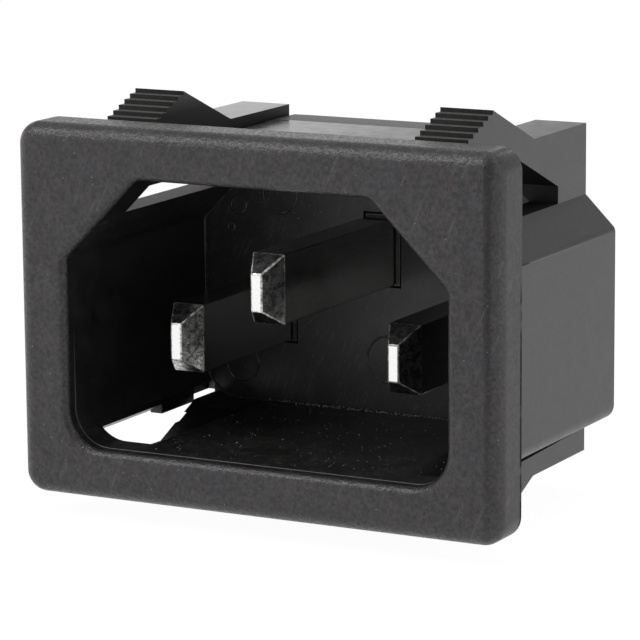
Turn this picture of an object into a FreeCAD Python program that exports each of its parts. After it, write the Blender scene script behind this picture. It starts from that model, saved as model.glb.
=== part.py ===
"""Snap-in power inlet socket: a moulded housing with four serrated snap arms, and three bevelled blade pins.

Millimetres. X runs to the viewer's right, Y runs back through the panel and Z runs up. The origin is the
middle of the flange's rear face, where the panel sits.
"""
import FreeCAD, Part
import math
import os

import Sketcher

STEP_COUNT = 6

SIZES = {
    # bezel flange
    "flange_width": 30.6,
    "flange_height": 21.7,
    "flange_thickness": 2.9,
    "flange_corner_radius": 1.3,
    "flange_edge_radius": 1.0,
    # keyed opening and the cavity behind it
    "opening_width": 24.2,
    "opening_height": 15.8,
    "opening_chamfer": 4.75,
    "opening_corner_radius": 2.2,
    "opening_key_radius": 0.6,
    "opening_lip": 0.3,
    "cavity_depth": 16.2,
    # shroud around the cavity
    "wall": 1.3,
    "back_wall": 3.75,
    "shroud_edge_radius": 0.5,
    "side_drop": 7.75,
    "side_foot_radius": 0.9,
    "foot_notch": 0.47,
    "foot_notch_width": 0.8,
    "foot_rib_start": 7.1,
    "foot_rib_length": 3.8,
    "foot_rib_drop": 0.12,
    "foot_slot_rise": 0.75,
    "foot_slot_length": 3.2,
    "pad_rise": 0.15,
    "pad_length": 4.9,
    "pad_top": 3.6,
    "pad_drop": 5.9,
    "boss_width": 15.8,
    "boss_depth": 1.7,
    "boss_slope": 0.25,
    "block_width": 18.8,
    "block_top": 5.2,
    "block_drop": 6.2,
    # snap arms and the windows that let them flex
    "latch_inset": 8.25,
    "latch_width": 3.25,
    "slot_gap": 0.2,
    "window_length": 13.1,
    "tail_rise": 0.6,
    "arm_valley": 9.8,
    "arm_valley_radius": 0.8,
    "arm_peak": 4.35,
    "arm_lift": 2.3,
    "arm_section": 1.8,
    "arm_belly": 6.5,
    "step_tread": 0.63,
    "step_rise": 0.25,
    "nose_section": 1.4,
    "lower_root_section": 2.15,
    "tail_groove_start": 7.0,
    "tail_groove_length": 8.4,
    "tail_groove_top": 1.6,
    "tail_groove_front": 0.48,
    "tail_groove_rear": 0.26,
    "tail_groove_depth": 0.18,
    # blade pins
    "pin_spacing": 14.0,
    "live_row": 1.95,
    "earth_row": 2.0,
    "pin_height": 4.0,
    "pin_thickness": 2.0,
    "pin_bevel": 1.5,
    "tip_height": 2.15,
    "tip_thickness": 0.68,
    "live_setback": 3.8,
    "earth_setback": 0.8,
    "pin_fit": 0.02,
    "recess_gap": 0.25,
    "recess_depth": 1.0,
    "tab_height": 4.8,
    "tab_thickness": 0.8,
    "tab_length": 7.8,
    "tab_chamfer": 1.2,
    "tab_hole": 1.4,
    "tab_hole_inset": 3.8,
}


class Size:
    """A length that carries both its value and the sheet expression that it comes from."""

    def __init__(self, text, value):
        self.text = text
        self.value = value

    def join(self, other, sign, value):
        text = other.text if isinstance(other, Size) else repr(float(other))
        return Size("(%s %s %s)" % (self.text, sign, text), value)

    def __add__(self, other):
        return self.join(other, "+", self.value + number(other))

    def __sub__(self, other):
        return self.join(other, "-", self.value - number(other))

    def __mul__(self, other):
        return self.join(other, "*", self.value * number(other))

    def __truediv__(self, other):
        return self.join(other, "/", self.value / number(other))

    def __neg__(self):
        return Size("(0 - %s)" % self.text, -self.value)


def number(item):
    return item.value if isinstance(item, Size) else float(item)


doc = FreeCAD.newDocument("power_inlet")
sheet = doc.addObject("Spreadsheet::Sheet", "Sizes")
for row, (alias, value) in enumerate(SIZES.items(), start=1):
    sheet.set("A%d" % row, alias)
    sheet.set("B%d" % row, str(value))
    sheet.setAlias("B%d" % row, alias)
doc.recompute()


def size(alias):
    return Size("Sizes.%s" % alias, float(getattr(sheet, alias)))


ZERO = size("wall") * 0

# places that several features share
front = -size("flange_thickness")
cavity_back = size("cavity_depth") - size("flange_thickness")
shroud_rear = cavity_back + size("back_wall")
boss_rear = shroud_rear + size("boss_depth")
half_opening = size("opening_width") / 2
opening_top = size("opening_height") / 2
half_shroud = half_opening + size("wall")
shroud_top = opening_top + size("wall")
key_line = half_opening + opening_top - size("opening_chamfer") + size("wall") * math.sqrt(2)
latch_outer = size("latch_inset") + size("latch_width")
slot_edge = size("latch_inset") - size("slot_gap")
window_floor = key_line - latch_outer
tail_top = shroud_top + size("tail_rise")
peak_top = tail_top + size("arm_lift")
nose_front = size("arm_peak") - size("step_tread") * STEP_COUNT


def bind(item, place, expression):
    item.setExpression(place, expression.text)


def new_body(label):
    body = doc.addObject("PartDesign::Body", label)
    body.Label = label
    return body


def plane(body, role):
    return next(f for f in body.Origin.OriginFeatures if f.Role == role)


def new_sketch(body, name, role, offset=None):
    """A sketch on one of the body's own planes, moved along the plane's normal by offset."""
    sketch = body.newObject("Sketcher::SketchObject", name)
    sketch.AttachmentSupport = [(plane(body, role), "")]
    sketch.MapMode = "FlatFace"
    if offset is not None:
        bind(sketch, "AttachmentOffset.Base.z", offset)
    return sketch


def pin_down(sketch, geometry, end, across, up):
    """Fixes one end of a sketch element at a place measured from the sketch's origin."""
    for kind, place in (("DistanceX", across), ("DistanceY", up)):
        index = sketch.addConstraint(Sketcher.Constraint(kind, -1, 1, geometry, end, place.value))
        bind(sketch, "Constraints[%d]" % index, place)


def corner_cut(before, here, after, radius):
    """Where a rounding of this radius leaves the two edges that meet at here."""
    def unit(a, b):
        run = FreeCAD.Vector(b[0].value - a[0].value, b[1].value - a[1].value, 0)
        return run.normalize()

    arriving = unit(before, here)
    leaving = unit(here, after)
    reach = math.tan(arriving.getAngle(leaving) / 2)
    start = [here[axis] - radius * (reach * arriving[axis]) for axis in (0, 1)]
    end = [here[axis] + radius * (reach * leaving[axis]) for axis in (0, 1)]
    turn = arriving.cross(leaving).z
    inward = FreeCAD.Vector(-arriving.y, arriving.x, 0) * math.copysign(radius.value, turn)
    centre = FreeCAD.Vector(start[0].value, start[1].value, 0) + inward
    return start, end, centre, turn > 0


def outline(sketch, corners):
    """Draws a closed outline. Each corner is (across, up) or (across, up, radius of its rounding)."""
    count = len(corners)
    leaves, arrives, arcs = [], [], []
    for k, corner in enumerate(corners):
        here = corner[:2]
        if len(corner) == 2:
            arrives.append(here)
            leaves.append(here)
            arcs.append(None)
            continue
        start, end, centre, left_turn = corner_cut(corners[k - 1], corner, corners[(k + 1) % count], corner[2])
        arrives.append(start)
        leaves.append(end)
        arcs.append((centre, corner[2], left_turn))
    for k in range(count):
        follow = (k + 1) % count
        a = [c.value for c in leaves[k]]
        b = [c.value for c in arrives[follow]]
        line = sketch.addGeometry(Part.LineSegment(FreeCAD.Vector(*a, 0), FreeCAD.Vector(*b, 0)))
        pin_down(sketch, line, 1, *leaves[k])
        pin_down(sketch, line, 2, *arrives[follow])
    for k, arc in enumerate(arcs):
        if arc is None:
            continue
        centre, radius, left_turn = arc
        circle = Part.Circle(centre, FreeCAD.Vector(0, 0, 1), radius.value)
        first, last = (arrives[k], leaves[k]) if left_turn else (leaves[k], arrives[k])
        angles = [math.atan2(p[1].value - centre.y, p[0].value - centre.x) for p in (first, last)]
        bend = sketch.addGeometry(Part.ArcOfCircle(circle, angles[0], angles[1]))
        ends = ((k - 1) % count, 2), (k, 1)
        if not left_turn:
            ends = ends[::-1]
        first_line = sketch_line(sketch, ends[0][0])
        last_line = sketch_line(sketch, ends[1][0])
        sketch.addConstraint(Sketcher.Constraint("Coincident", bend, 1, first_line, ends[0][1]))
        sketch.addConstraint(Sketcher.Constraint("Coincident", bend, 2, last_line, ends[1][1]))
        index = sketch.addConstraint(Sketcher.Constraint("Radius", bend, radius.value))
        bind(sketch, "Constraints[%d]" % index, radius)


def sketch_line(sketch, index):
    """The geometry number of the outline's line, counted from the last outline's first line."""
    return outline_start[sketch.Name] + index


outline_start = {}


def draw(sketch, corners):
    outline_start[sketch.Name] = sketch.GeometryCount
    outline(sketch, corners)


def box_corners(left, right, low, high):
    return [(left, low), (right, low), (right, high), (left, high)]


def pad(body, sketch, name, length, reverse=False, middle=False):
    feature = body.newObject("PartDesign::Pad", name)
    feature.Profile = sketch
    feature.Reversed = reverse
    feature.Midplane = middle
    bind(feature, "Length", length)
    doc.recompute()
    return feature


def pocket(body, sketch, name, length):
    """Cuts along the sketch's own cutting direction, and makes sure that it took something away."""
    before = body.Shape.Volume
    feature = body.newObject("PartDesign::Pocket", name)
    feature.Profile = sketch
    bind(feature, "Length", length)
    doc.recompute()
    if body.Shape.Volume >= before:
        raise RuntimeError("%s cut nothing" % name)
    return feature


def edges_where(shape, wanted):
    return ["Edge%d" % k for k, edge in enumerate(shape.Edges, start=1) if wanted(edge)]


def at_depth(edge, depth):
    box = edge.BoundBox
    return abs(box.YMin - depth) < 1e-4 and abs(box.YMax - depth) < 1e-4


def dress(body, kind, name, wanted, place, amount):
    """Rounds or bevels the edges that the test picks out of the body as it stands."""
    base = body.Tip
    feature = body.newObject("PartDesign::" + kind, name)
    feature.Base = (base, edges_where(base.Shape, wanted))
    bind(feature, place, amount)
    doc.recompute()
    return feature


def make_housing():
    body = new_body("housing")

    # bezel flange, padded forward from the panel face
    half_width = size("flange_width") / 2
    half_height = size("flange_height") / 2
    bend = size("flange_corner_radius")
    flange = new_sketch(body, "flange_outline", "XZ_Plane")
    draw(flange, [(x, z, bend) for x, z in box_corners(-half_width, half_width, -half_height, half_height)])
    pad(body, flange, "flange", size("flange_thickness"))
    dress(body, "Fillet", "flange_front_edge", lambda e: at_depth(e, front.value),
          "Radius", size("flange_edge_radius"))

    # shroud with keyed top corners; its side walls stop short above the lower arms
    soft = size("shroud_edge_radius")
    low = -size("side_drop")
    right_half = [
        (latch_outer, -shroud_top),
        (latch_outer, low),
        (half_shroud, low, size("side_foot_radius")),
        (half_shroud, key_line - half_shroud, soft),
        (key_line - shroud_top, shroud_top, soft),
    ]
    left_half = [(-corner[0],) + corner[1:] for corner in reversed(right_half)]
    shroud = new_sketch(body, "shroud_outline", "XZ_Plane")
    draw(shroud, right_half + left_half)
    pad(body, shroud, "shroud", shroud_rear, reverse=True)

    # low pads that take up play against the sides of the panel cut-out
    pads = new_sketch(body, "side_pad_outline", "XZ_Plane")
    pad_face = half_shroud + size("pad_rise")
    draw(pads, box_corners(-pad_face, pad_face, -size("pad_drop"), size("pad_top")))
    pad(body, pads, "side_pads", size("pad_length"), reverse=True)

    # terminal boss on the back, with drafted top and bottom
    boss = new_sketch(body, "boss_profile", "YZ_Plane")
    boss_end = shroud_top - size("boss_slope")
    draw(boss, [(cavity_back, -shroud_top), (shroud_rear, -shroud_top), (boss_rear, -boss_end),
                (boss_rear, boss_end), (shroud_rear, shroud_top), (cavity_back, shroud_top)])
    pad(body, boss, "terminal_boss", size("boss_width"), middle=True)

    # wider terminal block across the boss, round the outer pins
    block = new_sketch(body, "block_outline", "XZ_Plane", -cavity_back)
    half_block = size("block_width") / 2
    draw(block, box_corners(-half_block, half_block, -size("block_drop"), size("block_top")))
    pad(body, block, "terminal_block", boss_rear - cavity_back, reverse=True)

    # windows under the four arms; the lower pair also cut away the inner edge of each side wall's foot
    windows = new_sketch(body, "window_outline", "XZ_Plane")
    beyond = half_shroud + size("wall")
    clear = tail_top + size("wall")
    far_slot = latch_outer + size("slot_gap")
    draw(windows, box_corners(slot_edge, beyond, window_floor, clear))
    draw(windows, box_corners(-beyond, -slot_edge, window_floor, clear))
    notch_edge = far_slot + size("foot_notch_width")
    notch_top = size("foot_notch") - size("side_drop")
    lower = [(slot_edge, -clear), (notch_edge, -clear), (notch_edge, -size("side_drop")),
             (far_slot, notch_top), (far_slot, -window_floor), (slot_edge, -window_floor)]
    draw(windows, lower)
    draw(windows, [(-x, z) for x, z in reversed(lower)])
    pocket(body, windows, "windows", size("window_length"))

    # ribs that stiffen those edges halfway along, and a slot behind each rib
    rib_end = size("foot_rib_start") + size("foot_rib_length")
    foot_slots = new_sketch(body, "foot_slot_outline", "XZ_Plane", -rib_end)
    slot_top = size("foot_slot_rise") - size("side_drop")
    draw(foot_slots, box_corners(latch_outer, notch_edge, -clear, slot_top))
    draw(foot_slots, box_corners(-notch_edge, -latch_outer, -clear, slot_top))
    pocket(body, foot_slots, "foot_slots", size("foot_slot_length"))
    ribs = new_sketch(body, "foot_rib_outline", "XZ_Plane", -size("foot_rib_start"))
    rib_low = -size("side_drop") - size("foot_rib_drop")
    draw(ribs, box_corners(far_slot, notch_edge, rib_low, notch_top))
    draw(ribs, box_corners(-notch_edge, -far_slot, rib_low, notch_top))
    pad(body, ribs, "foot_ribs", size("foot_rib_length"), reverse=True)

    make_latches(body)

    # keyed cavity, cut last so that nothing stands in the plug's way
    rounding = size("opening_corner_radius")
    key = size("opening_key_radius")
    key_side = opening_top - size("opening_chamfer")
    key_top = half_opening - size("opening_chamfer")
    opening = new_sketch(body, "opening_outline", "XZ_Plane", size("flange_thickness"))
    draw(opening, [(-half_opening, -opening_top, rounding), (half_opening, -opening_top, rounding),
                   (half_opening, key_side, key), (key_top, opening_top, key),
                   (-key_top, opening_top, key), (-half_opening, key_side, key)])
    pocket(body, opening, "cavity", size("cavity_depth"))

    # blade slots through the back wall, with a wider recess on the cavity side
    for name, gap, depth in (("pin_slots", size("pin_fit"), boss_rear - cavity_back),
                             ("pin_recesses", size("recess_gap"), size("recess_depth"))):
        slots = new_sketch(body, name + "_outline", "XZ_Plane", -cavity_back)
        across = size("pin_thickness") / 2 + gap
        tall = size("pin_height") / 2 + gap
        for x, z, _ in pin_places().values():
            draw(slots, box_corners(x - across, x + across, z - tall, z + tall))
        pocket(body, slots, name, depth)

    def opening_edge(edge):
        box = edge.BoundBox
        inside = max(abs(box.XMin), abs(box.XMax)) < half_opening.value + 1e-3
        return at_depth(edge, front.value) and inside

    dress(body, "Chamfer", "opening_lip", opening_edge, "Size", size("opening_lip"))
    return body


def make_latches(body):
    """Snap arms on their tail blocks: an upper and a lower one on the right, mirrored to the left."""
    slope = size("arm_lift") / (size("arm_valley") - size("arm_peak"))
    nose_top = peak_top - size("step_rise") * STEP_COUNT
    belly_under = peak_top - size("arm_section") - slope * (size("arm_belly") - size("arm_peak"))
    root_under = tail_top - size("arm_section") - slope * (size("window_length") - size("arm_valley"))
    upper_side = [(nose_front, nose_top - size("nose_section")), (size("arm_belly"), belly_under),
                  (size("window_length"), root_under)]
    level_start = size("arm_valley") + (size("lower_root_section") - size("arm_section")) / slope
    level_under = tail_top - size("lower_root_section")
    lower_side = upper_side[:2] + [(level_start, level_under), (size("window_length"), level_under)]

    outside = [(size("window_length"), window_floor), (shroud_rear, window_floor), (shroud_rear, tail_top),
               (size("arm_valley"), tail_top, size("arm_valley_radius"))]
    for k in range(STEP_COUNT):
        edge = size("arm_peak") - size("step_tread") * k
        outside.append((edge, peak_top - size("step_rise") * k))
        outside.append((edge, peak_top - size("step_rise") * (k + 1)))
    outside.append((nose_front, nose_top))

    arms = []
    for name, turn, inside in (("upper_latch", 1, upper_side), ("lower_latch", -1, lower_side)):
        sketch = new_sketch(body, name + "_profile", "YZ_Plane", size("latch_inset"))
        draw(sketch, [(corner[0], corner[1] * turn) + corner[2:] for corner in outside + inside])
        arms.append(pad(body, sketch, name, size("latch_width")))

    # shallow groove along the lower tail's outer face, narrower towards the rear
    groove_top = size("tail_groove_top") - tail_top
    groove_end = size("tail_groove_start") + size("tail_groove_length")
    groove = new_sketch(body, "tail_groove_profile", "YZ_Plane", latch_outer)
    draw(groove, [(size("tail_groove_start"), groove_top), (groove_end, groove_top),
                  (groove_end, groove_top - size("tail_groove_rear")),
                  (size("tail_groove_start"), groove_top - size("tail_groove_front"))])
    arms.append(pocket(body, groove, "tail_groove", size("tail_groove_depth")))
    mirror = body.newObject("PartDesign::Mirrored", "left_latches")
    mirror.Originals = arms
    mirror.MirrorPlane = (plane(body, "YZ_Plane"), [""])
    body.Tip = mirror
    doc.recompute()


def pin_places():
    """Each pin's X and Z, and how far its tip sits behind the flange's front face."""
    half_spacing = size("pin_spacing") / 2
    return {
        "earth_pin": (ZERO, size("earth_row"), size("earth_setback")),
        "left_pin": (-half_spacing, -size("live_row"), size("live_setback")),
        "right_pin": (half_spacing, -size("live_row"), size("live_setback")),
    }


def make_pin(label, across, up, setback):
    """A rectangular blade with a bevelled tip; its push-on tab shoulders against the terminal boss."""
    body = new_body(label)
    tip = front + setback
    full = tip + size("pin_bevel")
    half_thick = size("pin_thickness") / 2
    half_tall = size("pin_height") / 2
    blade = new_sketch(body, label + "_blade_outline", "XZ_Plane", -full)
    draw(blade, box_corners(-half_thick, half_thick, -half_tall, half_tall))
    pad(body, blade, label + "_blade", boss_rear - full, reverse=True)

    nib = new_sketch(body, label + "_tip_outline", "XZ_Plane", -tip)
    nib_thick = size("tip_thickness") / 2
    nib_tall = size("tip_height") / 2
    draw(nib, box_corners(-nib_thick, nib_thick, -nib_tall, nib_tall))
    root = new_sketch(body, label + "_bevel_outline", "XZ_Plane", -full)
    draw(root, box_corners(-half_thick, half_thick, -half_tall, half_tall))
    bevel = body.newObject("PartDesign::AdditiveLoft", label + "_bevel")
    bevel.Profile = root
    bevel.Sections = [nib]
    bevel.Ruled = True
    doc.recompute()

    tab = new_sketch(body, label + "_tab_profile", "YZ_Plane")
    tab_end = boss_rear + size("tab_length")
    tab_half = size("tab_height") / 2
    bite = size("tab_chamfer")
    draw(tab, [(boss_rear, -tab_half), (tab_end - bite, -tab_half), (tab_end, -tab_half + bite),
               (tab_end, tab_half - bite), (tab_end - bite, tab_half), (boss_rear, tab_half)])
    eye = tab_end - size("tab_hole_inset")
    circle = Part.Circle(FreeCAD.Vector(eye.value, 0, 0), FreeCAD.Vector(0, 0, 1), size("tab_hole").value / 2)
    hole = tab.addGeometry(circle)
    pin_down(tab, hole, 3, eye, ZERO)
    index = tab.addConstraint(Sketcher.Constraint("Radius", hole, size("tab_hole").value / 2))
    bind(tab, "Constraints[%d]" % index, size("tab_hole") / 2)
    pad(body, tab, label + "_tab", size("tab_thickness"), middle=True)

    bind(body, "Placement.Base.x", across)
    bind(body, "Placement.Base.z", up)
    doc.recompute()
    return body


def check(bodies):
    """Stops before anything is written if a feature failed or a sub-part isn't one sound solid."""
    for item in doc.Objects:
        if "Invalid" in item.State or "Error" in item.State:
            raise RuntimeError("%s failed: %s" % (item.Name, item.State))
    for body in bodies:
        shape = body.Shape
        if shape.isNull() or not shape.isValid() or len(shape.Solids) != 1:
            raise RuntimeError("%s isn't one sound solid" % body.Label)


bodies = [make_housing()]
for label, place in pin_places().items():
    bodies.append(make_pin(label, *place))
doc.recompute()
check(bodies)

os.makedirs("parts", exist_ok=True)
for body in bodies:
    body.Shape.exportStep("parts/%s.step" % body.Label)
    box = body.Shape.BoundBox
    print("%s: %.1f mm3, X %.2f to %.2f, Y %.2f to %.2f, Z %.2f to %.2f" % (
        body.Label, body.Shape.Volume, box.XMin, box.XMax, box.YMin, box.YMax, box.ZMin, box.ZMax))
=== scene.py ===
# %% [markdown]
# # A snap-in power inlet socket
# This lesson dresses a small moulded power inlet: a black bezel with a keyed opening, bright blade pins inside
# and stepped snap arms behind. The solid model comes first, as a fixed frame, and every piece made here sits on
# it in metres. The frame's own box is kept, and the paper floor is laid at its lowest point.

import math
import random

import bmesh
import bpy
from mathutils import Matrix, Vector


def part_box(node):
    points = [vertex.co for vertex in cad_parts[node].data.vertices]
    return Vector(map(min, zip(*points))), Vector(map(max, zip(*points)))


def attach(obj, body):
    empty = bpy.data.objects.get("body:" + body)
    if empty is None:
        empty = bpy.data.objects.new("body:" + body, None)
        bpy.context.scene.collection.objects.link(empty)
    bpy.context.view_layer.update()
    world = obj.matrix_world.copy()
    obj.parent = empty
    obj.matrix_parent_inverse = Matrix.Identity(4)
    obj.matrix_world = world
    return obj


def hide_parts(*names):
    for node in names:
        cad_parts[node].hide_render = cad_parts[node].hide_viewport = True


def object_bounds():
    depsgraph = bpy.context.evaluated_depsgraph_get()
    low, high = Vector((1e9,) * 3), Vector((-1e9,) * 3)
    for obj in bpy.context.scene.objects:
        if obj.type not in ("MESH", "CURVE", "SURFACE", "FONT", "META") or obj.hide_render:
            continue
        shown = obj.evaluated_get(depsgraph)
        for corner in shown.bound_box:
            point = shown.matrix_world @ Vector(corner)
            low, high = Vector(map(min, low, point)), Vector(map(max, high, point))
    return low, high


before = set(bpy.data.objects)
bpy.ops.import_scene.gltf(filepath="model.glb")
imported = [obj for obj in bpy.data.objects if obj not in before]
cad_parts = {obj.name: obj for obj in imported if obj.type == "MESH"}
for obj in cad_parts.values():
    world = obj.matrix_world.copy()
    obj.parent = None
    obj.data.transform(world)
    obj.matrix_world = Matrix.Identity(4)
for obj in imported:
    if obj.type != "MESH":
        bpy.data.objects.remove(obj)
cad_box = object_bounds()
MM = 0.001
print("nodes:", sorted(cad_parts))

# %% [markdown]
# ## The camera
# The socket is seen from its right and a little above, through a long lens. A camera can be turned by hand until
# it looks right, but here its direction is written as two angles round a target point in the opening, because
# those are easy to read and to change. The last small turn, about the line of sight, is the tilt of the horizon.

# %% Aim the camera
AZIMUTH = math.radians(28.192)
ELEVATION = math.radians(11.103)
TILT = math.radians(-0.470)
DISTANCE = 193.68 * MM
TARGET = Vector((4.448, -2.9, 0.995)) * MM
FOCAL_PIXELS = 3528.6
FRAME_PIXELS = 640
SENSOR_WIDTH = 36
NEAREST = 0.01

ahead = Vector((-math.sin(AZIMUTH) * math.cos(ELEVATION), math.cos(AZIMUTH) * math.cos(ELEVATION),
                -math.sin(ELEVATION)))
level = ahead.cross(Vector((0, 0, 1))).normalized()
upright = level.cross(ahead)
across = level * math.cos(TILT) + upright * math.sin(TILT)
up = upright * math.cos(TILT) - level * math.sin(TILT)
eye = TARGET - ahead * DISTANCE

lens = bpy.data.cameras.new("lens")
lens.sensor_width = SENSOR_WIDTH
lens.lens = FOCAL_PIXELS * SENSOR_WIDTH / FRAME_PIXELS
lens.clip_start = NEAREST
camera = bpy.data.objects.new("camera", lens)
bpy.context.scene.collection.objects.link(camera)
turn = Matrix((across, up, -ahead)).transposed().to_4x4()
camera.matrix_world = Matrix.Translation(eye) @ turn
bpy.context.scene.camera = camera
print("camera at %.3f %.3f %.3f m, lens %.0f mm" % (*eye, lens.lens))

# %% [markdown]
# ## Small tools for nodes
# Every light and finish below is a tree of nodes. Nodes can be placed and wired in the editor, but a script is
# easier to read when one short call adds a node with its values and links. These helpers do that, and the sums
# that come up again and again have names of their own.

# %% Node helpers
def new_material(name):
    """A material with an empty node tree, and the tree."""
    material = bpy.data.materials.new(name)
    material.use_nodes = True
    material.node_tree.nodes.clear()
    return material, material.node_tree


def add(tree, kind, inputs=None, **settings):
    """Adds one node. Inputs are values to set or sockets to link, by socket name or number."""
    node = tree.nodes.new(kind)
    for key, value in settings.items():
        setattr(node, key, value)
    for key, value in (inputs or {}).items():
        if isinstance(value, bpy.types.NodeSocket):
            tree.links.new(value, node.inputs[key])
        else:
            node.inputs[key].default_value = value
    return node


def axes_of(tree, vector):
    """The X, Y and Z of a vector, each as a socket."""
    return add(tree, "ShaderNodeSeparateXYZ", {0: vector}).outputs


# %% Sums in nodes
def math_of(tree, operation, first, second=0.0):
    return add(tree, "ShaderNodeMath", {0: first, 1: second}, operation=operation).outputs[0]


def product(tree, result, *factors):
    for factor in factors:
        result = math_of(tree, "MULTIPLY", result, factor)
    return result


def largest(tree, result, *others):
    for other in others:
        result = math_of(tree, "MAXIMUM", result, other)
    return result


def rest_of(tree, share):
    """What a share leaves of one."""
    return math_of(tree, "SUBTRACT", 1.0, share)


def remap(tree, value, low, high, to_low, to_high):
    """Carries a value from one range to another and stops at its ends."""
    return add(tree, "ShaderNodeMapRange", {"Value": value, "From Min": low, "From Max": high,
                                            "To Min": to_low, "To Max": to_high}).outputs[0]


# %% [markdown]
# ## White studio
# The part stands in a light tent: white all round, so that smooth black plastic has something pale to reflect.
# The world is full white where the eye, a mirror or glass looks at it, and dimmer as a lamp. A real tent isn't
# white all over: it has a tall dark slit for the lens, it gets dimmer overhead, and on the right its wall stops
# short above the table. Glossy faces show all three. The slit is dark for mirrors only. The eye would see the
# dimmer roof and wall too, but from any usual height it looks down at the paper, which fills the picture. Cards
# and flags round the part would do the same, but a few nodes in the world keep the scene empty.

# %% Tent helpers
SLIT_SIDE = (math.sin(AZIMUTH), -math.cos(AZIMUTH), 0)
SLIT_INNER = math.cos(math.radians(5))
SLIT_OUTER = math.cos(math.radians(13))


def seen_directly(tree):
    """One where a ray comes from the eye, a mirror or glass, and nought for a ray that only lights."""
    path = add(tree, "ShaderNodeLightPath").outputs
    return largest(tree, path["Is Camera Ray"], path["Is Glossy Ray"], path["Is Transmission Ray"])


def slit_dimming(tree, outward, reach):
    """One everywhere but in the tent's slit, where mirrors see it dark. Outward points away from the part."""
    flat = add(tree, "ShaderNodeVectorMath", {0: outward, 1: (1, 1, 0)}, operation="MULTIPLY").outputs[0]
    aim = add(tree, "ShaderNodeVectorMath", {0: flat}, operation="NORMALIZE").outputs[0]
    turned = add(tree, "ShaderNodeVectorMath", {0: aim, 1: SLIT_SIDE}, operation="DOT_PRODUCT").outputs["Value"]
    inside = remap(tree, turned, SLIT_OUTER, SLIT_INNER, 0, 1)
    mirror = add(tree, "ShaderNodeLightPath").outputs["Is Glossy Ray"]
    return rest_of(tree, product(tree, inside, reach, mirror))


# %% World
WHITE = (1, 1, 1, 1)
LAMP_LEVEL = 0.5
OVERHEAD_LEVEL = 0.5
SIDE_LEVEL = 0.4
SLIT_ENDS, SLIT_GONE = 0.5, 0.7
ROOF_STARTS, ROOF_FULL = 0.26, 0.5
RIGHT_STARTS, RIGHT_FULL = -0.25, 0.15

world = bpy.data.worlds.new("tent")
bpy.context.scene.world = world
world.use_nodes = True
tree = world.node_tree
tree.nodes.clear()
heading = add(tree, "ShaderNodeTexCoord").outputs["Generated"]
parts = axes_of(tree, heading)
slit = slit_dimming(tree, heading, remap(tree, parts["Z"], SLIT_GONE, SLIT_ENDS, 0, 1))
roof = remap(tree, parts["Z"], ROOF_STARTS, ROOF_FULL, 1, OVERHEAD_LEVEL)
side = remap(tree, parts["X"], RIGHT_STARTS, RIGHT_FULL, 1, SIDE_LEVEL)
wall = product(tree, slit, math_of(tree, "MINIMUM", roof, side))
white = add(tree, "ShaderNodeBackground", {"Color": WHITE, "Strength": wall})
dim = add(tree, "ShaderNodeBackground", {"Color": WHITE, "Strength": LAMP_LEVEL})
choose = add(tree, "ShaderNodeMixShader", {0: seen_directly(tree), 1: dim.outputs[0], 2: white.outputs[0]})
add(tree, "ShaderNodeOutputWorld", {"Surface": choose.outputs[0]})
bpy.context.scene.view_settings.view_transform = "Standard"
print("world lamp level", LAMP_LEVEL)

# %% [markdown]
# ## Paper floor
# A sheet of white paper lies under the part. White paint alone would come out grey in the dim light, so the sheet
# glows where it is looked at and is plain paper for the rest. The small share of plain paper carries the part's
# faint shadow, and the tent's slit goes on across the sheet for the mirrors.

# %% Floor
FLOOR_SIZE = 4.0
PAPER = (0.9, 0.9, 0.9, 1)
PAPER_GLOW = (1.04, 1.04, 1.04, 1)
GLOW_SHARE = 0.93
SLIT_NEAR, SLIT_CLEAR = 22 * MM, 28.6 * MM

floor_level = cad_box[0][2]
mesh = bpy.data.meshes.new("floor")
bm = bmesh.new()
bmesh.ops.create_grid(bm, x_segments=1, y_segments=1, size=FLOOR_SIZE / 2)
bmesh.ops.translate(bm, verts=bm.verts, vec=(0, 0, floor_level))
bm.to_mesh(mesh)
bm.free()
floor = bpy.data.objects.new("floor", mesh)
bpy.context.scene.collection.objects.link(floor)
paper, tree = new_material("white_paper")
spot = add(tree, "ShaderNodeTexCoord").outputs["Object"]
away = add(tree, "ShaderNodeVectorMath", {0: spot}, operation="LENGTH").outputs["Value"]
shine = slit_dimming(tree, spot, remap(tree, away, SLIT_NEAR, SLIT_CLEAR, 0, 1))
plain = add(tree, "ShaderNodeBsdfDiffuse", {"Color": PAPER})
glow = add(tree, "ShaderNodeEmission", {"Color": PAPER_GLOW, "Strength": shine})
share = product(tree, seen_directly(tree), GLOW_SHARE)
paper_mix = add(tree, "ShaderNodeMixShader", {0: share, 1: plain.outputs[0], 2: glow.outputs[0]})
add(tree, "ShaderNodeOutputMaterial", {"Surface": paper_mix.outputs[0]})
mesh.materials.append(paper)
print("floor at %.2f mm" % (floor_level / MM))

# %% [markdown]
# ## Lamps
# Three soft square lamps give the light a direction: the key from the upper left in front, one from above and
# behind, and one from the right. Bare points would draw hard shadows in the cavity, so each lamp is at least half
# as wide as it is far away, and they are weak, because the tent already lights the part.

# %% Lamps
PART_MIDDLE = Vector((0, 0.006, 0))
LAMPS = (("lamp_key", (-0.22, -0.25, 0.37), 0.26, 1.1),
         ("lamp_above", (0.1, 0.12, 0.45), 0.35, 0.5),
         ("lamp_right", (0.45, 0.05, 0.12), 0.35, 0.6))
for name, place, size, watts in LAMPS:
    data = bpy.data.lights.new(name, "AREA")
    data.shape = "SQUARE"
    data.size = size
    data.energy = watts
    lamp = bpy.data.objects.new(name, data)
    bpy.context.scene.collection.objects.link(lamp)
    look = PART_MIDDLE - Vector(place)
    lamp.matrix_world = Matrix.Translation(place) @ look.to_track_quat("-Z", "Y").to_matrix().to_4x4()
    print("%s: %.1f W" % (name, watts))

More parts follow.
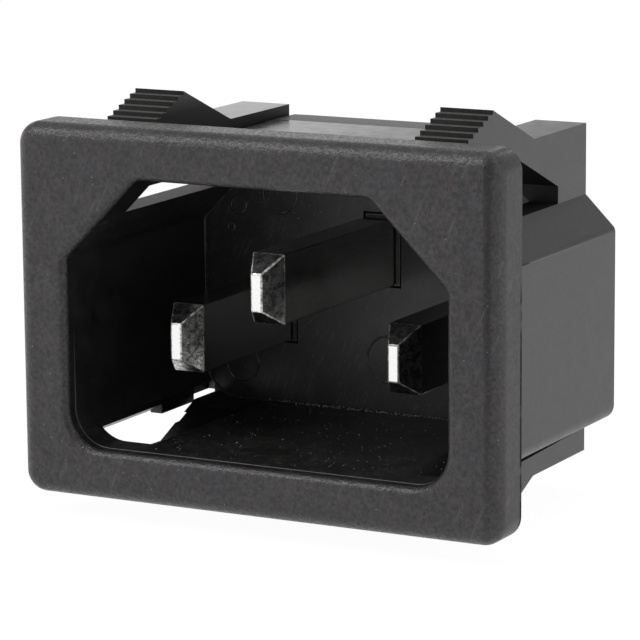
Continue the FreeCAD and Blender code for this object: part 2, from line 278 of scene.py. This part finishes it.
# %% [markdown]
# ## Patterns for the finishes
# A finish is more than its colour: grain, dust and wear make it. Pictures could be wrapped round the pieces, but
# a pattern of a few nodes needs no seams. Each one reads the object's own metres, so a grain that is a tenth of a
# millimetre across is that size on every face.

# %% Patterns
SPECK_CORE = 0.5
FULL_SPECKS = 0.3


def own_place(tree):
    return add(tree, "ShaderNodeTexCoord").outputs["Object"]


def blots(tree, place, width_mm, detail=3.0, roughness=0.6):
    """A cloudy pattern with blots of about this width."""
    return add(tree, "ShaderNodeTexNoise", {"Vector": place, "Scale": 1 / (width_mm * MM), "Detail": detail,
                                            "Roughness": roughness}).outputs["Fac"]


def hairlines(tree, place, widths_mm, tilt, **noise):
    """A cloudy pattern drawn out into hairs: the widths of its blots along X, Y and Z, tilted about Y."""
    drawn = add(tree, "ShaderNodeMapping", {"Vector": place, "Rotation": (0, tilt, 0),
                                            "Scale": [width * MM for width in widths_mm]},
                vector_type="TEXTURE").outputs[0]
    return add(tree, "ShaderNodeTexNoise", {"Vector": drawn, "Scale": 1.0, **noise}).outputs["Fac"]


def dust(tree, place, spacing_mm, radius_mm, share):
    """One on the specks of a random net, where only a share of the net's cells holds a speck."""
    cells = add(tree, "ShaderNodeTexVoronoi", {"Vector": place, "Scale": 1 / (spacing_mm * MM)}).outputs
    radius = radius_mm / spacing_mm
    dot = remap(tree, cells["Distance"], radius, radius * SPECK_CORE, 0, 1)
    lot = add(tree, "ShaderNodeSeparateColor", {"Color": cells["Color"]}).outputs["Red"]
    return product(tree, dot, remap(tree, lot, share, share * FULL_SPECKS, 0, 1))


# %% Ranges, colours and the shader
NOISE_LOW, NOISE_HIGH = 0.3, 0.7


def noise_to(tree, noise, low, high):
    """Carries a cloudy pattern, which hardly leaves its middle range, to a range of its own."""
    return remap(tree, noise, NOISE_LOW, NOISE_HIGH, low, high)


def graded(tree, axis, start_mm, end_mm, at_start, at_end):
    """A value that changes along an axis between two places."""
    return remap(tree, axis, start_mm * MM, end_mm * MM, at_start, at_end)


def tinted(tree, shade, tone, pale=None, amount=0.0):
    """A base colour, made lighter and darker by tone. A pale colour may be laid over it by amount."""
    base = add(tree, "ShaderNodeVectorMath", {0: shade, "Scale": tone}, operation="SCALE").outputs[0]
    if pale is None:
        return base
    return add(tree, "ShaderNodeMix", {"Factor": amount, "A": base, "B": pale}, data_type="RGBA").outputs["Result"]


def skin(finish, colour, roughness, height, height_mm, **constants):
    """The shader at the end of a finish, with its bump. Constants are set on the shader's own sockets."""
    tree = finish.node_tree
    bump = add(tree, "ShaderNodeBump", {"Strength": 1.0, "Distance": height_mm * MM, "Height": height})
    inputs = {"Base Color": colour, "Roughness": roughness, "Normal": bump.outputs[0]}
    inputs.update({key.replace("_", " "): value for key, value in constants.items()})
    shader = add(tree, "ShaderNodeBsdfPrincipled", inputs)
    add(tree, "ShaderNodeOutputMaterial", {"Surface": shader.outputs[0]})
    print("finish %s: %d nodes" % (finish.name, len(tree.nodes)))


# %% [markdown]
# ## Bezel grain
# The mould was spark-eroded where it forms the bezel, so the plastic has a fine pebbled grain that sparkles where
# a lamp is reflected. A bump of noise gives the pebbles, and the same noise makes their tops lighter and glossier.
# Marks are laid over that by place: a dark broken line at the rear edge, where the mould parts, which is grime
# with painted shade, a dark band of painted shade where the front turns into the right side, a smoother and duller
# right side, and a few scratches. A painted picture would do for these, but ranges along the axes are enough, and
# each one is easy to take out.

# %% Bezel grain
PEBBLE_WIDTH = 0.2
PEBBLE_HEIGHT = 0.055
WARM_BLACK = (0.0278, 0.0234, 0.0228, 1)
COOL_BLACK = (0.0238, 0.0232, 0.0268, 1)
BEZEL_DUST = (0.34, 0.33, 0.32, 1)
REAR_EDGE_DARKENING = 0.9
SIDE_STARTS, SIDE_FULL = 14.4, 15.0

bezel_grain, tree = new_material("bezel_grain")
place = own_place(tree)
where = axes_of(tree, place)
pebbles = blots(tree, place, PEBBLE_WIDTH)
cloud = blots(tree, place, 1.6)
grain = product(tree, remap(tree, pebbles, 0.32, 0.68, 0.45, 1.55), noise_to(tree, cloud, 0.85, 1.15))
print("bezel pebbles: %.2f mm wide" % PEBBLE_WIDTH)

# %% Bezel wear and painted shade
# A dark broken band just in front of the rear edge, stronger low down: grime with painted shade.
broken = remap(tree, cloud, 0.36, 0.48, 0.4, 1)
lower_part = graded(tree, where["Z"], 2, 4.5, 1, 0.15)
rear_edge_grime_and_shade = product(tree, graded(tree, where["Y"], -0.32, -0.16, 0, 1), broken, lower_part)
# A dark band where the front turns into the right side, patchy and stronger high up: painted shade, a dark
# reflection painted on.
edge_shade_patches = product(tree, remap(tree, cloud, 0.4, 0.56, 0.1, 0.6), graded(tree, where["Z"], -3, 3, 0.35, 1))
into_edge_shade = graded(tree, where["X"], 14.3, 14.38, 0, 1)
out_of_edge_shade = graded(tree, where["X"], 14.6, 14.75, 1, 0)
painted_edge_shade = product(tree, into_edge_shade, out_of_edge_shade, edge_shade_patches)
smooth = graded(tree, where["X"], SIDE_STARTS, SIDE_FULL, 1, 0.3)
dull_side = graded(tree, where["X"], SIDE_STARTS, SIDE_FULL, 0, 0.48)
hairs = hairlines(tree, place, (0.28, 1.1, 3.8), 0.42, Detail=2.0)
scratches = remap(tree, hairs, 0.64, 0.71, 0, 0.06)
print("bezel with its wear: %d nodes" % len(tree.nodes))

# %% Bezel colour
hue = remap(tree, blots(tree, place, 1.3, 2.0), 0.35, 0.65, 0, 1)
black = add(tree, "ShaderNodeMix", {"Factor": hue, "A": WARM_BLACK, "B": COOL_BLACK},
            data_type="RGBA").outputs["Result"]
tone = product(tree, grain, rest_of(tree, product(tree, rear_edge_grime_and_shade, REAR_EDGE_DARKENING)), rest_of(tree, painted_edge_shade))
fluff = product(tree, dust(tree, place, 0.6, 0.05, 0.5), 0.5)
colour = tinted(tree, black, tone, BEZEL_DUST, largest(tree, fluff, scratches))
dull = largest(tree, noise_to(tree, pebbles, 0.5, 0.2), rear_edge_grime_and_shade, painted_edge_shade, dull_side)
skin(bezel_grain, colour, dull, product(tree, pebbles, smooth), PEBBLE_HEIGHT)

# %% [markdown]
# ## Shroud satin
# The outside of the shroud comes from a plain polished part of the mould: smooth, with soft clouds and little
# dust. One side is better polished than the other, so its roughness changes from left to right. Two finishes with
# a border between them could show that too, but a range along X has no border to hide.

# %% Shroud satin
SHROUD_SIDE = 13
SHROUD_BLACK = (0.029, 0.029, 0.03)
SHROUD_DUST = (0.3, 0.3, 0.3, 1)

shroud_satin, tree = new_material("shroud_satin")
place = own_place(tree)
cloud = blots(tree, place, 1.1, 4.0)
fine = blots(tree, place, 0.3)
polish = graded(tree, axes_of(tree, place)["X"], -SHROUD_SIDE, SHROUD_SIDE, 0.12, 0.4)
tone = product(tree, noise_to(tree, cloud, 0.8, 1.2), noise_to(tree, fine, 0.8, 1.2))
fluff = product(tree, dust(tree, place, 1.8, 0.05, 0.25), 0.25)
colour = tinted(tree, SHROUD_BLACK, tone, SHROUD_DUST, fluff)
skin(shroud_satin, colour, math_of(tree, "ADD", polish, noise_to(tree, cloud, -0.04, 0.04)), fine, 0.0012)

# %% [markdown]
# ## Boss and snap arms
# The boss behind the shroud is matt. The treads of the steps on the arms are painted pale, as light from above,
# and their risers painted dark, as shade. The inner sides of the arms are painted dark, as shade between the arm
# and the boss, and lighter towards the peaks. Each is the same small tree with other numbers, which is simpler
# than one tree with switches.

# %% Boss matt
boss_matt, tree = new_material("boss_matt")
grain = blots(tree, own_place(tree), 0.2)
colour = tinted(tree, (0.027, 0.027, 0.027), noise_to(tree, grain, 0.8, 1.2))
skin(boss_matt, colour, noise_to(tree, grain, 0.4, 0.5), grain, 0.004, Specular_IOR_Level=0.5)

# %% Treads and risers
# Painted light: the treads are pale, as if lit from above.
step_tread, tree = new_material("step_tread")
grain = blots(tree, own_place(tree), 0.16)
colour = tinted(tree, (0.062, 0.061, 0.057), noise_to(tree, grain, 0.7, 1.3))
skin(step_tread, colour, noise_to(tree, grain, 0.4, 0.55), grain, 0.006)

# Painted shade: the risers are dark, and so are the linings of the windows and notches under the arms.
shaded_riser_and_lining, tree = new_material("shaded_riser_and_lining")
grain = blots(tree, own_place(tree), 0.2)
colour = tinted(tree, (0.013, 0.0125, 0.012), noise_to(tree, grain, 0.6, 1.6))
skin(shaded_riser_and_lining, colour, noise_to(tree, grain, 0.4, 0.55), grain, 0.006, Specular_IOR_Level=0.2)

# %% Inner sides of the arms
arm_inner_side, tree = new_material("arm_inner_side")
place = own_place(tree)
grain = blots(tree, place, 0.2)
height = math_of(tree, "ABSOLUTE", axes_of(tree, place)["Z"])
# Painted shade: the inner sides are dark between the arm and the boss, and painted lighter above 10.9 mm, towards
# the peaks.
tone_by_place = product(tree, graded(tree, height, 10.9, 12.0, 0.5, 4.5), noise_to(tree, grain, 0.8, 1.2))
colour = tinted(tree, (0.013, 0.0128, 0.0125), tone_by_place)
skin(arm_inner_side, colour, noise_to(tree, grain, 0.4, 0.5), grain, 0.004, Specular_IOR_Level=0.2)

# %% [markdown]
# ## Cavity polish
# The cavity is almost polished. Plugs leave slanting scuffs on its back wall and floor but not on its side walls,
# and dust lies where nobody can wipe it out. Scuffs could be cut as grooves, but they are finer than any mesh
# should be, so a drawn-out noise lays them over the colour.

# %% Cavity polish
CAVITY_BLACK = (0.014, 0.0136, 0.0132)
CAVITY_DUST = (0.3, 0.29, 0.28, 1)

cavity_polish, tree = new_material("cavity_polish")
place = own_place(tree)
cloud = blots(tree, place, 1.4, 4.0)
fine = blots(tree, place, 0.16, 3.0, 0.7)
hairs = hairlines(tree, place, (0.16, 1.1, 1.5), 0.4, Detail=3.0, Distortion=1.5)
sideways = math_of(tree, "ABSOLUTE", axes_of(tree, place)["X"])
scuffs = product(tree, remap(tree, hairs, 0.54, 0.7, 0, 0.12), remap(tree, cloud, 0.4, 0.55, 0.1, 1),
                 graded(tree, sideways, 11.6, 12.0, 1, 0.1))
fluff = product(tree, dust(tree, place, 0.5, 0.05, 0.4), 0.3)
tone = product(tree, noise_to(tree, cloud, 0.7, 1.3), noise_to(tree, fine, 0.5, 1.5))
colour = tinted(tree, CAVITY_BLACK, tone, CAVITY_DUST, largest(tree, fluff, scuffs))
skin(cavity_polish, colour, noise_to(tree, cloud, 0.28, 0.42), fine, 0.002)

# %% [markdown]
# ## Ring polish
# Where bright steel pins push the part out of its mould, the plastic copies their shine. It is the same black,
# only paler and glossier than the wall round it, so a finish of its own is enough.

# %% Ring polish
ring_polish, tree = new_material("ring_polish")
grain = blots(tree, own_place(tree), 0.3)
colour = tinted(tree, (0.042, 0.041, 0.04), remap(tree, grain, 0.35, 0.65, 0.5, 1.5))
skin(ring_polish, colour, noise_to(tree, grain, 0.15, 0.25), grain, 0.001)

# %% [markdown]
# ## Nickel
# The blades are brass with a bright nickel plate. Their flat sides are smooth, with faint lines drawn along the
# blade. The bevelled tips were struck in a press: their slopes stay mottled, with a painted reflection that makes
# them lighter at the lowest and highest heights, and the small flat at the very end is burnished white by every
# plug that was pushed on. The edges between the slopes are rubbed and scatter light more widely. One metal with
# masks would do, but four finishes can be given to whole faces and stay easy to read.

# %% Drawn nickel
NICKEL = (0.93, 0.925, 0.91)
DRAWN_LINES = (1 / 6, 1 / 0.35, 1 / 6)

drawn_nickel, tree = new_material("drawn_nickel")
place = own_place(tree)
lines = hairlines(tree, place, DRAWN_LINES, 0.0, Detail=2.0)
colour = tinted(tree, NICKEL, noise_to(tree, lines, 0.8, 0.92))
skin(drawn_nickel, colour, noise_to(tree, blots(tree, place, 0.9), 0.14, 0.22), lines, 0.0006, Metallic=1.0)

# %% Struck nickel
struck_nickel, tree = new_material("struck_nickel")
place = own_place(tree)
height = axes_of(tree, place)["Z"]
pits = blots(tree, place, 0.2, 4.0, 0.65)
cloud = blots(tree, place, 0.4, 4.0)
# Painted reflection: the slopes are lighter below -2.9 mm and above -0.6 mm in height than between.
tone_by_place = largest(tree, graded(tree, height, -2.9, -3.5, 0.75, 1.0), graded(tree, height, -0.6, -0.1, 0.75, 1.0))
tone = product(tree, remap(tree, pits, 0.36, 0.6, 0.55, 1.0), remap(tree, cloud, 0.4, 0.58, 0.35, 1.0), tone_by_place)
worn = math_of(tree, "ADD", graded(tree, height, -3.4, -2.6, 0.18, 0.26), noise_to(tree, pits, 0.06, -0.06))
skin(struck_nickel, tinted(tree, NICKEL, tone), worn, pits, 0.012, Metallic=1.0)

# %% Worn edges and burnished flats
worn_edge, tree = new_material("worn_edge")
place = own_place(tree)
pits = blots(tree, place, 0.3)
tone_by_place = graded(tree, axes_of(tree, place)["X"], 3, 5, 1.0, 0.45)
tone = product(tree, remap(tree, pits, 0.38, 0.6, 0.25, 1.0), tone_by_place)
skin(worn_edge, tinted(tree, NICKEL, tone), noise_to(tree, pits, 0.4, 0.55), pits, 0.006, Metallic=1.0)

burnished_nickel, tree = new_material("burnished_nickel")
pits = blots(tree, own_place(tree), 0.15)
colour = tinted(tree, NICKEL, noise_to(tree, pits, 0.93, 1.07))
skin(burnished_nickel, colour, noise_to(tree, pits, 0.2, 0.3), pits, 0.004, Metallic=1.0)

# %% [markdown]
# ## Rounded edges
# The frame's solids have the right shape with sharp edges. A moulded edge is never sharp: a mould rounds it a
# little, and that narrow round is what catches the light. A Bevel modifier would round every edge alike. Here a
# copy of each solid is joined into whole faces and its edges are bevelled in groups, so that each group has its
# own radius. A weighted normal modifier keeps the big faces flat while the rounds blend into them.

# %% Copy and soften
SHARP = math.radians(28)
SAME_PLANE = math.radians(0.6)
SAME_PLACE = 0.0005 * MM


def joined_copy(node):
    """A bmesh of a frame node, with its loose triangles joined into whole faces."""
    bm = bmesh.new()
    bm.from_mesh(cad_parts[node].data)
    bmesh.ops.remove_doubles(bm, verts=bm.verts, dist=SAME_PLACE)
    bmesh.ops.dissolve_limit(bm, angle_limit=SAME_PLANE, verts=bm.verts, edges=bm.edges)
    return bm


def soften(bm, edges, radius_mm, segments):
    bmesh.ops.bevel(bm, geom=edges, offset=radius_mm * MM, offset_type="OFFSET", segments=segments, profile=0.5,
                    affect="EDGES", clamp_overlap=True, material=-1)


def sharp_edges(bm):
    return [e for e in bm.edges if e.is_manifold and e.calc_face_angle(0) > SHARP]


# %% New piece
NORMAL_WEIGHT = 100


def new_piece(bm, name, finishes):
    """Makes an object of a bmesh, gives it its finishes and lets it ride on the part."""
    mesh = bpy.data.meshes.new(name)
    for face in bm.faces:
        face.smooth = True
    bm.to_mesh(mesh)
    bm.free()
    piece = bpy.data.objects.new(name, mesh)
    bpy.context.scene.collection.objects.link(piece)
    for finish in finishes:
        mesh.materials.append(finish)
    even = piece.modifiers.new("even_normals", "WEIGHTED_NORMAL")
    even.weight = NORMAL_WEIGHT
    even.keep_sharp = True
    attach(piece, "root")
    print("%s: %d faces" % (name, len(mesh.polygons)))
    return piece


# %% [markdown]
# ## Zones of the moulding
# One moulding carries all the black finishes. Faces could be picked by number, but the numbers change whenever
# the solid does. So each finish has a zone: a rule in millimetres about where a face lies and which way it looks.

# %% Zones of the opening
HALF_OPENING = 12.1
OPENING_TOP = 7.9
KEY_LINE = 15.25
FRONT = -2.9
LIP = 0.3
CLOSE = 0.01
MARGIN = 0.02
SLANT = 1.5
print("opening: %.1f x %.1f mm" % (2 * HALF_OPENING, 2 * OPENING_TOP))


def in_opening(x, z, margin):
    """Whether a place lies within the keyed opening, drawn outwards by a margin."""
    return (abs(x) < HALF_OPENING + margin and abs(z) < OPENING_TOP + margin
            and abs(x) + z < KEY_LINE + margin * SLANT)


def on_lip(edge):
    return all(v.co.y / MM < FRONT + LIP + CLOSE and in_opening(v.co.x / MM, v.co.z / MM, LIP + MARGIN)
               for v in edge.verts)


def at_depth(edge, depth):
    return all(abs(v.co.y / MM - depth) < CLOSE for v in edge.verts)


# %% Zones of the arms
STEPS_INNER, STEPS_OUTER = 8.2, 11.55
STEPS_FRONT, STEPS_BACK, STEPS_FOOT = 0.5, 4.4, 10.5
NOTCH_INNER, NOTCH_OUTER, NOTCH_TOP, NOTCH_BACK = 11.65, 12.6, -6.9, 14.2
WINDOW_INNER, WINDOW_OUTER, WINDOW_BACK = 8.0, 11.75, 13.2
WINDOW_SIDE, WINDOW_ROOT, SILL_LOW, SILL_HIGH = 8.1, 12.9, 5.5, 5.75
ARM_SIDE_LOW, ARM_SIDE_HIGH, ARM_FRONT, ARM_FOOT = 8.1, 8.4, 0.3, 8.6
LEANS = 0.5
FACES = 0.7


def on_steps(x, y, z):
    return STEPS_INNER < abs(x) < STEPS_OUTER and STEPS_FRONT < y < STEPS_BACK and abs(z) > STEPS_FOOT


def edge_on_steps(edge):
    return all(on_steps(*(v.co / MM)) for v in edge.verts)


def in_window(x, y, z, normal):
    """Whether a face lines one of the windows under the arms, or the notches beside them."""
    if NOTCH_INNER < abs(x) < NOTCH_OUTER and z < NOTCH_TOP and y < NOTCH_BACK:
        return True
    if y > WINDOW_BACK or not WINDOW_INNER < abs(x) < WINDOW_OUTER or abs(z) < SILL_LOW:
        return False
    outward = normal.z if z > 0 else -normal.z
    root = normal.y < -FACES and y > WINDOW_ROOT
    sill = outward > LEANS and abs(z) < SILL_HIGH
    return root or sill or outward < -LEANS or abs(x) < WINDOW_SIDE


def between_arms(x, y, z, normal):
    """Whether a face is an arm's inner side, in the shade between the arm and the boss."""
    inner_side = ARM_SIDE_LOW < abs(x) < ARM_SIDE_HIGH and normal.x * x < -FACES * abs(x)
    return inner_side and y > ARM_FRONT and abs(z) > ARM_FOOT


# %% Finish by zone
LIP_REACH = 0.06
RECESS_BACK = 14.4
MATT_FROM = 14.6
BOSS_SIDE = 8.0
HOUSING_FINISHES = (bezel_grain, shroud_satin, cavity_polish, boss_matt, step_tread, shaded_riser_and_lining, arm_inner_side)


def finish_of(face):
    """The finish that a face of the housing gets, by its place and the way it looks."""
    x, y, z = face.calc_center_median() / MM
    if y < FRONT + LIP + LIP_REACH:
        return bezel_grain
    if y < RECESS_BACK and in_opening(x, z, MARGIN):
        return cavity_polish
    # Treads take the pale finish, painted light from above, and risers the dark one, painted shade.
    if on_steps(x, y, z) and abs(face.normal.x) < LEANS:
        return step_tread if abs(face.normal.z) > LEANS else shaded_riser_and_lining
    if between_arms(x, y, z, face.normal):
        return arm_inner_side
    # The linings of the windows and notches under the arms take the dark riser finish: painted shade.
    if in_window(x, y, z, face.normal):
        return shaded_riser_and_lining
    if y > MATT_FROM and abs(x) < BOSS_SIDE:
        return boss_matt
    return bezel_grain if y < CLOSE else shroud_satin


# %% [markdown]
# ## The housing
# The housing is softened in three groups: the lip of the opening with the widest round, the steps of the arms
# with the narrowest, and everything else between them. The lip's own edge is kept first as a list of points,
# because the beads follow it later. The matt finish starts in the middle of a flat face, so that face is cut
# there with a plane, which leaves the shape as it is.

# %% Housing helpers
SHROUD_FACE = 9
LEVEL = 0.9
ON_PLANE = 0.001 * MM


def loop_in_order(edges):
    """The vertices of one closed loop of edges, in order round it."""
    here = edges[0].verts[0]
    loop, left = [], set(edges)
    while left:
        edge = next(e for e in here.link_edges if e in left)
        left.remove(edge)
        loop.append(here)
        here = edge.other_vert(here)
    return loop


def split_at(bm, depth):
    """Cuts the outer top and bottom of the shroud along a line at a depth, so that each side has its finish."""
    faces = [f for f in bm.faces if abs(f.calc_center_median().z) > SHROUD_FACE * MM and abs(f.normal.z) > LEVEL
             and abs(f.calc_center_median().x) < BOSS_SIDE * MM]
    parts = set(faces)
    for face in faces:
        parts.update(face.edges)
        parts.update(face.verts)
    bmesh.ops.bisect_plane(bm, geom=list(parts), dist=ON_PLANE, plane_co=(0, depth * MM, 0), plane_no=(0, 1, 0))


# %% Housing
LIP_ROUND = 0.19
EDGE_ROUND = 0.07
STEP_ROUND = 0.03
NO_LENGTH = 0.0001 * MM

bm = joined_copy("housing")
lip_edges = [e for e in sharp_edges(bm) if on_lip(e)]
rim = [v.co.copy() for v in loop_in_order([e for e in lip_edges if at_depth(e, FRONT + LIP)])]
soften(bm, lip_edges, LIP_ROUND, segments=4)
others = [e for e in sharp_edges(bm) if not on_lip(e)]
soften(bm, [e for e in others if not edge_on_steps(e)], EDGE_ROUND, segments=2)
soften(bm, [e for e in sharp_edges(bm) if edge_on_steps(e)], STEP_ROUND, segments=2)
split_at(bm, MATT_FROM)
bmesh.ops.dissolve_degenerate(bm, dist=NO_LENGTH, edges=bm.edges)
for face in bm.faces:
    face.material_index = HOUSING_FINISHES.index(finish_of(face))
print("lip edges:", len(lip_edges), "other sharp edges:", len(others), "rim points:", len(rim))
housing = new_piece(bm, "moulded_housing", HOUSING_FINISHES)
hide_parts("housing")

# %% [markdown]
# ## Beads round the cavity
# The halves of the mould that meet inside the opening leave a thin raised line round it, a millimetre behind the
# front, and the core leaves another where the walls meet the back. They are only a few hundredths of a millimetre
# high, but they catch the light. A curve with a bevel would do, but the lip's own edge already gives the path: it
# is drawn as a loop of edges and extruded once for each point of the bead's outline. Each vertex remembers its
# step along the rim, so that the new ones can be moved inwards and back, and the last loop is merged with the
# first. On the keyed slopes, where no line shows, the front bead sinks into the wall.

# %% Bead helpers
BEAD_OUTLINE = ((-0.09, -0.02), (-0.09, 0.0), (-0.06, 0.035), (0.0, 0.05), (0.06, 0.035), (0.09, 0.0),
                (0.09, -0.02))
SLOPE_REACH = 0.3
SUNK = 0.08


def by_rim(k, depth, rise):
    """The place beside one point of the rim, at a depth and drawn inwards by rise, both in millimetres."""
    run = rim[(k + 1) % len(rim)] - rim[k - 1]
    inward = Vector((-run.z, 0, run.x)).normalized() * MM
    if inward.dot(rim[k]) > 0:
        inward = -inward
    if depth < 0 and (abs(rim[k].x) + rim[k].z) / MM > KEY_LINE - SLOPE_REACH:
        rise -= SUNK
    return Vector((rim[k].x, depth * MM, rim[k].z)) + inward * rise


def bead(bm, depth, scale):
    """Draws the bead's outline round the opening at a depth in millimetres."""
    along, rise = BEAD_OUTLINE[-1]
    verts = [bm.verts.new(by_rim(k, depth + along * scale, rise * scale)) for k in range(len(rim))]
    for k, vert in enumerate(verts):
        vert[rim_step] = k
    edges = [bm.edges.new((verts[k - 1], verts[k])) for k in range(len(verts))]
    for along, rise in BEAD_OUTLINE:
        drawn = bmesh.ops.extrude_edge_only(bm, edges=edges)["geom"]
        fresh = {v for v in drawn if isinstance(v, bmesh.types.BMVert)}
        edges = [e for e in drawn if isinstance(e, bmesh.types.BMEdge) and all(v in fresh for v in e.verts)]
        for vert in fresh:
            vert.co = by_rim(vert[rim_step], depth + along * scale, rise * scale)


# %% Beads
FRONT_BEAD = -1.9
BACK_WALL = 13.3

bm = bmesh.new()
rim_step = bm.verts.layers.int.new("rim_step")
bead(bm, FRONT_BEAD, scale=1.0)
bead(bm, BACK_WALL, scale=1.4)
bmesh.ops.remove_doubles(bm, verts=bm.verts, dist=SAME_PLACE)
bm.verts.layers.int.remove(rim_step)
bmesh.ops.recalc_face_normals(bm, faces=bm.faces)
for face in bm.faces:
    face.material_index = int(face.calc_center_median().y > 0)
new_piece(bm, "mould_beads", (cavity_polish, ring_polish))

# %% [markdown]
# ## Ejector rings
# Pins in the mould push the hot part out, and each leaves the print of its rim: a round ridge a few hundredths of
# a millimetre high on the cavity's back wall, with a steep inner side. A torus would be too round for it, so a low
# outline is spun once round the middle of each print.

# %% Ejector rings
RINGS = ((0.4, -4.65, 1.4), (-9.6, -5.7, 1.1), (9.6, -5.7, 1.1), (-9.75, 4.05, 0.5), (9.75, 4.05, 0.5),
         (-6.9, 4.9, 1.15), (6.9, 4.9, 1.15), (-10.3, 2.65, 0.22), (10.3, 2.65, 0.22))
RING_OUTLINE = ((-0.05, -0.02), (-0.05, 0.0), (-0.01, 0.04), (0.02, 0.04), (0.09, 0.0), (0.09, -0.02))
RING_STEPS = 48

bm = bmesh.new()
for x, z, radius in RINGS:
    middle = Vector((x, BACK_WALL, z))
    verts = [bm.verts.new((middle + Vector((radius + along, -rise, 0))) * MM) for along, rise in RING_OUTLINE]
    edges = [bm.edges.new((verts[k - 1], verts[k])) for k in range(len(verts))]
    bmesh.ops.spin(bm, geom=verts + edges, cent=middle * MM, axis=(0, 1, 0), angle=2 * math.pi, steps=RING_STEPS,
                   use_merge=True)
bmesh.ops.remove_doubles(bm, verts=bm.verts, dist=SAME_PLACE)
bmesh.ops.recalc_face_normals(bm, faces=bm.faces)
new_piece(bm, "ejector_rings", (ring_polish,))

# %% [markdown]
# ## Collars
# The back wall is moulded round each blade. A shallow recess surrounds it, and in the recess a thin collar of
# plastic hugs the metal. A box with a hole would need a Boolean, so a flat a little wider than the blade's
# outline is inset back to the metal and opened in the middle, and the frame that is left is drawn back into the
# recess.

# %% Collars
BLADES = ("earth_pin", "left_pin", "right_pin")
COLLAR = 0.15
COLLAR_FRONT = 13.35
COLLAR_BACK = 14.2
COLLAR_ROUND = 0.02

bm = bmesh.new()
for node in BLADES:
    blade = [v.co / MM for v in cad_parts[node].data.vertices if v.co.y < BACK_WALL * MM]
    west, east = min(p.x for p in blade) - COLLAR, max(p.x for p in blade) + COLLAR
    low, high = min(p.z for p in blade) - COLLAR, max(p.z for p in blade) + COLLAR
    middle = Vector(((west + east) / 2, COLLAR_FRONT, (low + high) / 2))
    place = Matrix.Translation(middle * MM) @ Matrix.Rotation(math.pi / 2, 4, "X")
    place = place @ Matrix.Diagonal(((east - west) * MM, (high - low) * MM, 1, 1))
    verts = bmesh.ops.create_grid(bm, x_segments=1, y_segments=1, size=0.5, matrix=place)["verts"]
    flat = list({f for v in verts for f in v.link_faces})
    ring = bmesh.ops.inset_region(bm, faces=flat, thickness=COLLAR * MM, use_boundary=True,
                                  use_even_offset=True)["faces"]
    bmesh.ops.delete(bm, geom=flat, context="FACES_ONLY")
    drawn = bmesh.ops.extrude_face_region(bm, geom=ring)["geom"]
    moved = [v for v in drawn if isinstance(v, bmesh.types.BMVert)]
    bmesh.ops.translate(bm, verts=moved, vec=(0, (COLLAR_BACK - COLLAR_FRONT) * MM, 0))
bmesh.ops.recalc_face_normals(bm, faces=bm.faces)
soften(bm, sharp_edges(bm), COLLAR_ROUND, segments=2)
new_piece(bm, "pin_collars", (cavity_polish,))

# %% [markdown]
# ## Dust
# Dust settles where nobody wipes: on the cavity's floor, on the wall behind it and most of all in the corner
# between them. A flat speck would vanish on a floor that is seen almost edge on, so each speck is a tiny round
# body. They are scattered by a random generator with a fixed seed, so every run lays the same dust.

# %% Lint
lint, tree = new_material("lint")
place = own_place(tree)
colour = tinted(tree, (0.36, 0.35, 0.33), noise_to(tree, blots(tree, place, 0.05), 0.5, 1.3))
skin(lint, colour, 0.9, blots(tree, place, 0.03), 0.005)

# %% Places for the dust
CAVITY_FLOOR = -OPENING_TOP
SEED = 11
ON_FLOOR, IN_CORNER, ON_WALL, UPPER_LEFT = 240, 230, 90, 120

scatter = random.Random(SEED)
chance, peaked = scatter.uniform, scatter.triangular
spots = [(chance(-8, 11), chance(-1.2, 12.8), CAVITY_FLOOR, chance(0.012, 0.035)) for _ in range(ON_FLOOR)]
spots += [(peaked(-8, 12, -4), chance(12.95, 13.25), chance(CAVITY_FLOOR, -7.78), chance(0.015, 0.06))
          for _ in range(IN_CORNER)]
spots += [(chance(-11, 11), BACK_WALL, chance(-7.5, 3.4), chance(0.01, 0.025)) for _ in range(ON_WALL)]
spots += [(peaked(-9, 4, -3), BACK_WALL, peaked(1.5, 7, 5), chance(0.01, 0.03)) for _ in range(UPPER_LEFT)]
print("places for dust:", len(spots))

# %% Dust
bm = bmesh.new()
for x, y, z, radius in spots:
    squash = Matrix.Diagonal((chance(0.7, 1.6), chance(0.7, 1.6), chance(0.6, 1.1), 1))
    bmesh.ops.create_icosphere(bm, subdivisions=1, radius=radius * MM,
                               matrix=Matrix.Translation(Vector((x, y, z)) * MM) @ squash)
new_piece(bm, "dust_specks", (lint,))

# %% [markdown]
# ## The blades
# Each blade keeps its solid's shape, with eased edges so that the plate shows a thin bright line there. The faces
# in front of the bevel's end are the struck ones, those that look forward are burnished, and the narrow ones are
# the worn edges. The back edge of the slopes is too blunt to count as sharp, so it is eased by itself. A finish
# for each face is simpler here than a mask, because the press left real borders between them.

# %% Blades
BEVEL_LENGTH = 1.5 * MM
NARROW = 0.1 * MM
LOOKS_FORWARD = -0.85
SLOPE_ROUND = 0.04
BLADE_ROUND = 0.08
BLADE_FINISHES = (drawn_nickel, struck_nickel, burnished_nickel, worn_edge)


def blade_finish_of(face, bevel_end):
    """The finish of one face of a blade, by its width, its place and the way it looks."""
    depth = face.calc_center_median().y
    if depth < bevel_end + NARROW and min(e.calc_length() for e in face.edges) < NARROW:
        return worn_edge
    if depth >= bevel_end:
        return drawn_nickel
    return burnished_nickel if face.normal.y < LOOKS_FORWARD else struck_nickel


for node in BLADES:
    bevel_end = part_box(node)[0][1] + BEVEL_LENGTH
    bm = joined_copy(node)
    soften(bm, [e for e in bm.edges if at_depth(e, bevel_end / MM)], SLOPE_ROUND, segments=2)
    soften(bm, sharp_edges(bm), BLADE_ROUND, segments=3)
    for face in bm.faces:
        face.material_index = BLADE_FINISHES.index(blade_finish_of(face, bevel_end))
    blade = new_piece(bm, node + "_plated", BLADE_FINISHES)
    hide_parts(node)
